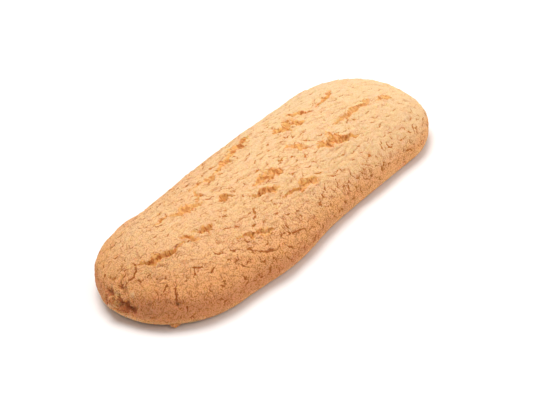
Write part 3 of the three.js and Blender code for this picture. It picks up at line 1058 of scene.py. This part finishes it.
class BISCUIT_OT_bake(bpy.types.Operator):
    """Bakes the biscuit: the loaf, its torn crust and its colours"""

    bl_idname = "biscuit.bake"
    bl_label = "Bake Biscuit"

    def execute(self, context):
        scene = context.scene
        loaf = Loaf(scene.biscuit_loaf)
        relief = scene.biscuit_relief
        bm = bmesh.new()
        crust_lattice(bm)
        mesh = bpy.data.meshes.new(PIECE)
        bm.to_mesh(mesh)
        bm.free()
        smooth = loaf.wrap(vector_array(mesh.vertices, "co"))
        set_vertices(mesh, smooth)
        normals = vector_array(mesh.vertex_normals, "vector")
        crust = Crust(loaf, relief, smooth, normals)
        crust.add_waves(relief.lump_height, relief.lump_pitch)
        crust.add_terraces()
        for layer in PLATE_LAYERS:
            crust.add_plates(layer)
        random = np.random.default_rng(SEED)
        for plan in LONG_CRACKS:
            crust.add_long_crack(plan, random)
        crust.add_cracks(CROWN_SLITS, True, random)
        crust.add_cracks(SIDE_CRACKS, False, random)
        for tear in TEARS:
            crust.add_tear(tear)
        for blister in PITS + CRUMBS:
            crust.bulge(blister)
        crust.add_crumble(CRUMBLE, CRUMBLE_STREWN, random)
        crust.add_crumble(PITTED, PITTED_STREWN, random)
        crust.add_waves(relief.grain_height, relief.grain_pitch)
        for pit in PITS:
            crust.scorch(pit, min(1, -pit.rise))
        crust.height *= crust.rough
        crust.bulge(NUB)
        # Painted shade: how far each place lies below its evened neighbours
        crust.cavity = smoothstep(evened(mesh, crust.height, CREVICE_SHADE_ROUNDS) - crust.height, *CREVICE_SHADE_RANGE)
        raised = smooth + normals * crust.height[:, None]
        raised[:, 2] = np.maximum(raised[:, 2], 0)
        middle = (raised.min(axis=0) + raised.max(axis=0)) / 2
        raised[:, :2] += np.array(CAD_MIDDLE)[:2] - middle[:2]
        set_vertices(mesh, raised)
        crust.brown()
        for name in CRUST_MASKS:
            store(mesh, name, getattr(crust, name))
        mesh.shade_smooth()
        mesh.materials.append(crust_material(scene.biscuit_colours))
        biscuit = bpy.data.objects.new(PIECE, mesh)
        scene.collection.objects.link(biscuit)
        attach(biscuit, BODY)
        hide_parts(NODE)
        return {"FINISHED"}


def add_softbox(scene, softbox):
    """A square light that points at the middle of the stage."""
    light = bpy.data.lights.new(softbox.name, "AREA")
    light.size = softbox.size
    light.energy = softbox.power
    light.color = LIGHT_COLOUR
    lamp = bpy.data.objects.new(softbox.name, light)
    lamp.location = softbox.place
    lamp.rotation_mode = "QUATERNION"
    lamp.rotation_quaternion = (-Vector(softbox.place)).to_track_quat("-Z", "Y")
    scene.collection.objects.link(lamp)


class BISCUIT_OT_set_stage(bpy.types.Operator):
    """Sets the white floor, the soft light and the camera"""

    bl_idname = "biscuit.set_stage"
    bl_label = "Set Stage"

    def execute(self, context):
        scene = context.scene
        bm = bmesh.new()
        bmesh.ops.create_grid(bm, x_segments=FLOOR_CELLS, y_segments=FLOOR_CELLS, size=FLOOR_REACH)
        mesh = bpy.data.meshes.new("floor")
        bm.to_mesh(mesh)
        bm.free()
        white = bpy.data.materials.new("white_floor")
        white.use_nodes = True
        set_inputs(white.node_tree.nodes["Principled BSDF"], FLOOR_FINISH)
        mesh.materials.append(white)
        floor = bpy.data.objects.new("floor", mesh)
        scene.collection.objects.link(floor)

        world = bpy.data.worlds.new("studio")
        world.use_nodes = True
        set_inputs(world.node_tree.nodes["Background"], SURROUNDINGS)
        scene.world = world
        for softbox in SOFTBOXES:
            add_softbox(scene, softbox)
        scene.view_settings.view_transform = "Standard"

        camera = bpy.data.cameras.new("camera")
        camera.lens = LENS
        camera.sensor_width = SENSOR
        eye = bpy.data.objects.new("camera", camera)
        heading, elevation, roll = (math.radians(angle) for angle in (HEADING, ELEVATION, ROLL))
        level = math.cos(elevation)
        forward = Vector((math.sin(heading) * level, math.cos(heading) * level, -math.sin(elevation)))
        eye.location = Vector(LOOK_AT) * MM - forward * DISTANCE * MM
        eye.rotation_mode = "QUATERNION"
        eye.rotation_quaternion = forward.to_track_quat("-Z", "Y") @ Quaternion((0, 0, 1), roll)
        camera.clip_start = CLIP_START
        scene.collection.objects.link(eye)
        scene.camera = eye
        return {"FINISHED"}


class BISCUIT_PT_panel(bpy.types.Panel):
    """Lists the biscuit's operators"""

    bl_idname = "BISCUIT_PT_panel"
    bl_label = "Milk Biscuit"
    bl_space_type = "VIEW_3D"
    bl_region_type = "UI"
    bl_category = "Biscuit"

    def draw(self, context):
        for operator in (BISCUIT_OT_bake, BISCUIT_OT_set_stage):
            self.layout.operator(operator.bl_idname)


GROUPS = {"biscuit_loaf": LoafSizes, "biscuit_relief": CrustRelief, "biscuit_colours": CrustColours}
CLASSES = (*GROUPS.values(), BISCUIT_OT_bake, BISCUIT_OT_set_stage, BISCUIT_PT_panel)


def register():
    for cls in CLASSES:
        bpy.utils.register_class(cls)
    for name, group in GROUPS.items():
        setattr(bpy.types.Scene, name, PointerProperty(type=group))


def unregister():
    for name in GROUPS:
        delattr(bpy.types.Scene, name)
    for cls in reversed(CLASSES):
        bpy.utils.unregister_class(cls)


def main():
    register()
    bpy.ops.biscuit.bake()
    bpy.ops.biscuit.set_stage()


if __name__ == "__main__":
    main()
